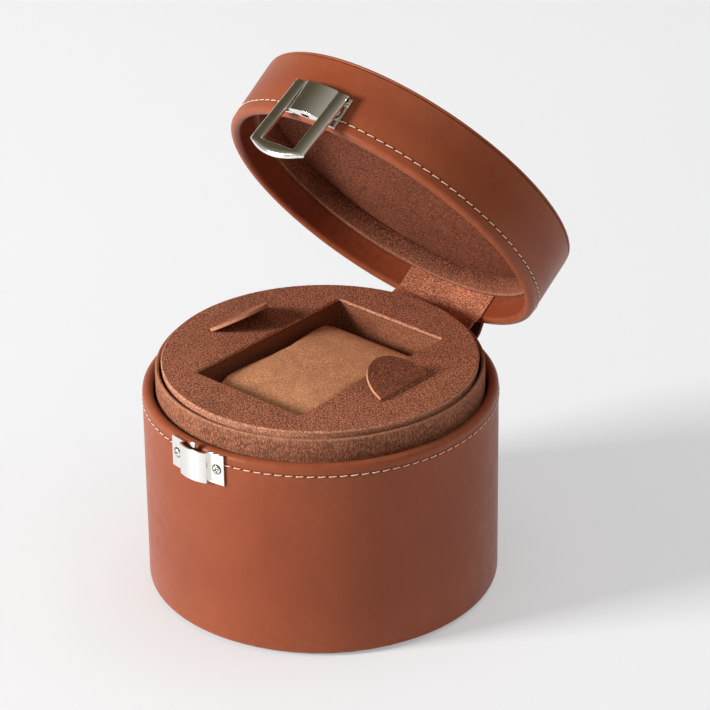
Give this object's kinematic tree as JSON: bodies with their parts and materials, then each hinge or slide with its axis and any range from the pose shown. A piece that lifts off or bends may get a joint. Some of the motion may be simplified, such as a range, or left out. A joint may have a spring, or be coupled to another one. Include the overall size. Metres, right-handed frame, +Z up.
{
  "type": "watch winder box",
  "caption": "Round leather watch winder box: spinning suede disc with a watch cushion in a drum base, hinged lid standing open, hasp and catch at the front.",
  "frame": {"origin": "bottom centre of the drum base, on the face it stands on", "axes": "+Z up along the drum, -Y towards the catch, +Y towards the lid hinge, +X to the right seen from the catch"},
  "size_m": [0.14, 0.1734, 0.2131],
  "materials": {
    "cognac_leather": "smooth waxed cowhide with a soft sheen",
    "strap_leather": "darker smooth leather",
    "brown_suede": "brushed suede",
    "tan_suede": "brushed suede",
    "board": "plain grey-brown fibreboard",
    "felt": "dark wool felt",
    "foam": "open-cell padding",
    "nickel": "polished nickel plate",
    "steel": "plain steel",
    "brass": "plain brass",
    "black_plastic": "moulded",
    "white_plastic": "moulded acetal",
    "circuit_board": "green fibreglass board"
  },
  "bodies": {
    "base": {"felt_pad": "felt", "base_board": "board", "base_shell": "board", "base_leather": "cognac_leather", "inner_tube": "board", "collar_suede": "tan_suede", "deck_post_1": "black_plastic", "deck_post_2": "black_plastic", "deck_post_3": "black_plastic", "deck_plate": "black_plastic", "spindle_bearing": "brass", "motor": "steel", "control_board": "circuit_board", "switch_body": "black_plastic", "battery_box": "black_plastic", "battery_1": "steel", "battery_2": "steel", "contact_bridge": "steel", "contact_positive": "steel", "contact_negative": "steel", "battery_cover": "black_plastic", "cover_screw": "steel", "hinge_leaf_base": "brass", "hinge_pin": "steel", "hinge_strap_base": "strap_leather", "hinge_gusset_base": "brown_suede", "catch_plate": "nickel", "catch_pin": "nickel", "catch_screw_left": "nickel", "catch_screw_right": "nickel"},
    "rotor": {"spindle": "steel", "drive_gear": "white_plastic", "rotor_tray": "black_plastic", "pocket_lining": "brown_suede", "disc_board": "board", "disc_suede": "brown_suede"},
    "pinion": {"motor_pinion": "white_plastic"},
    "left_flap": {"flap_left": "brown_suede"},
    "right_flap": {"flap_right": "brown_suede"},
    "cushion": {"watch_cushion": "tan_suede"},
    "lid": {"lid_shell": "board", "lid_leather": "cognac_leather", "lid_top_leather": "cognac_leather", "lid_suede_ring": "brown_suede", "lid_suede_panel": "brown_suede", "lid_pad": "foam", "hinge_leaf_lid": "brass", "hinge_strap_lid": "strap_leather", "hinge_gusset_lid": "brown_suede", "hasp_plate": "nickel", "hasp_pin": "steel", "hasp_screw_left": "nickel", "hasp_screw_right": "nickel"},
    "hasp": {"hasp_frame": "nickel"},
    "switch": {"switch_knob": "white_plastic"}
  },
  "joints": [
    {"name": "lid_hinge", "type": "hinge", "parent": "base", "child": "lid", "pos_m": [0, 0.0718, 0.0776], "axis": [-1, 0, 0], "range_deg": [-54.2, 10]},
    {"name": "hasp_hinge", "type": "hinge", "parent": "lid", "child": "hasp", "pos_m": [0, 0.00355, 0.20574], "axis": [-1, 0, 0], "range_deg": [-6, 80]},
    {"name": "rotor_spin", "type": "hinge", "parent": "base", "child": "rotor", "pos_m": [0, 0, 0.05], "axis": [0, 0, 1], "continuous": true},
    {"name": "pinion_spin", "type": "hinge", "parent": "base", "child": "pinion", "pos_m": [0, -0.03215, 0.041], "axis": [0, 0, 1], "continuous": true},
    {"name": "left_flap_fold", "type": "hinge", "parent": "rotor", "child": "left_flap", "pos_m": [-0.0464, 0, 0.09575], "axis": [0, -1, 0], "range_deg": [-31, 69]},
    {"name": "right_flap_fold", "type": "hinge", "parent": "rotor", "child": "right_flap", "pos_m": [0.0433, 0, 0.09575], "axis": [0, 1, 0], "range_deg": [-24, 76]},
    {"name": "cushion_lift", "type": "slide", "parent": "rotor", "child": "cushion", "axis": [0, 0, 1], "range_m": [0, 0.046]},
    {"name": "switch_slide", "type": "slide", "parent": "base", "child": "switch", "axis": [1, 0, 0], "range_m": [0, 0.0044]}
  ],
  "couplings": [
    {"joint": "pinion_spin", "follows": "rotor_spin", "ratio": -3}
  ]
}
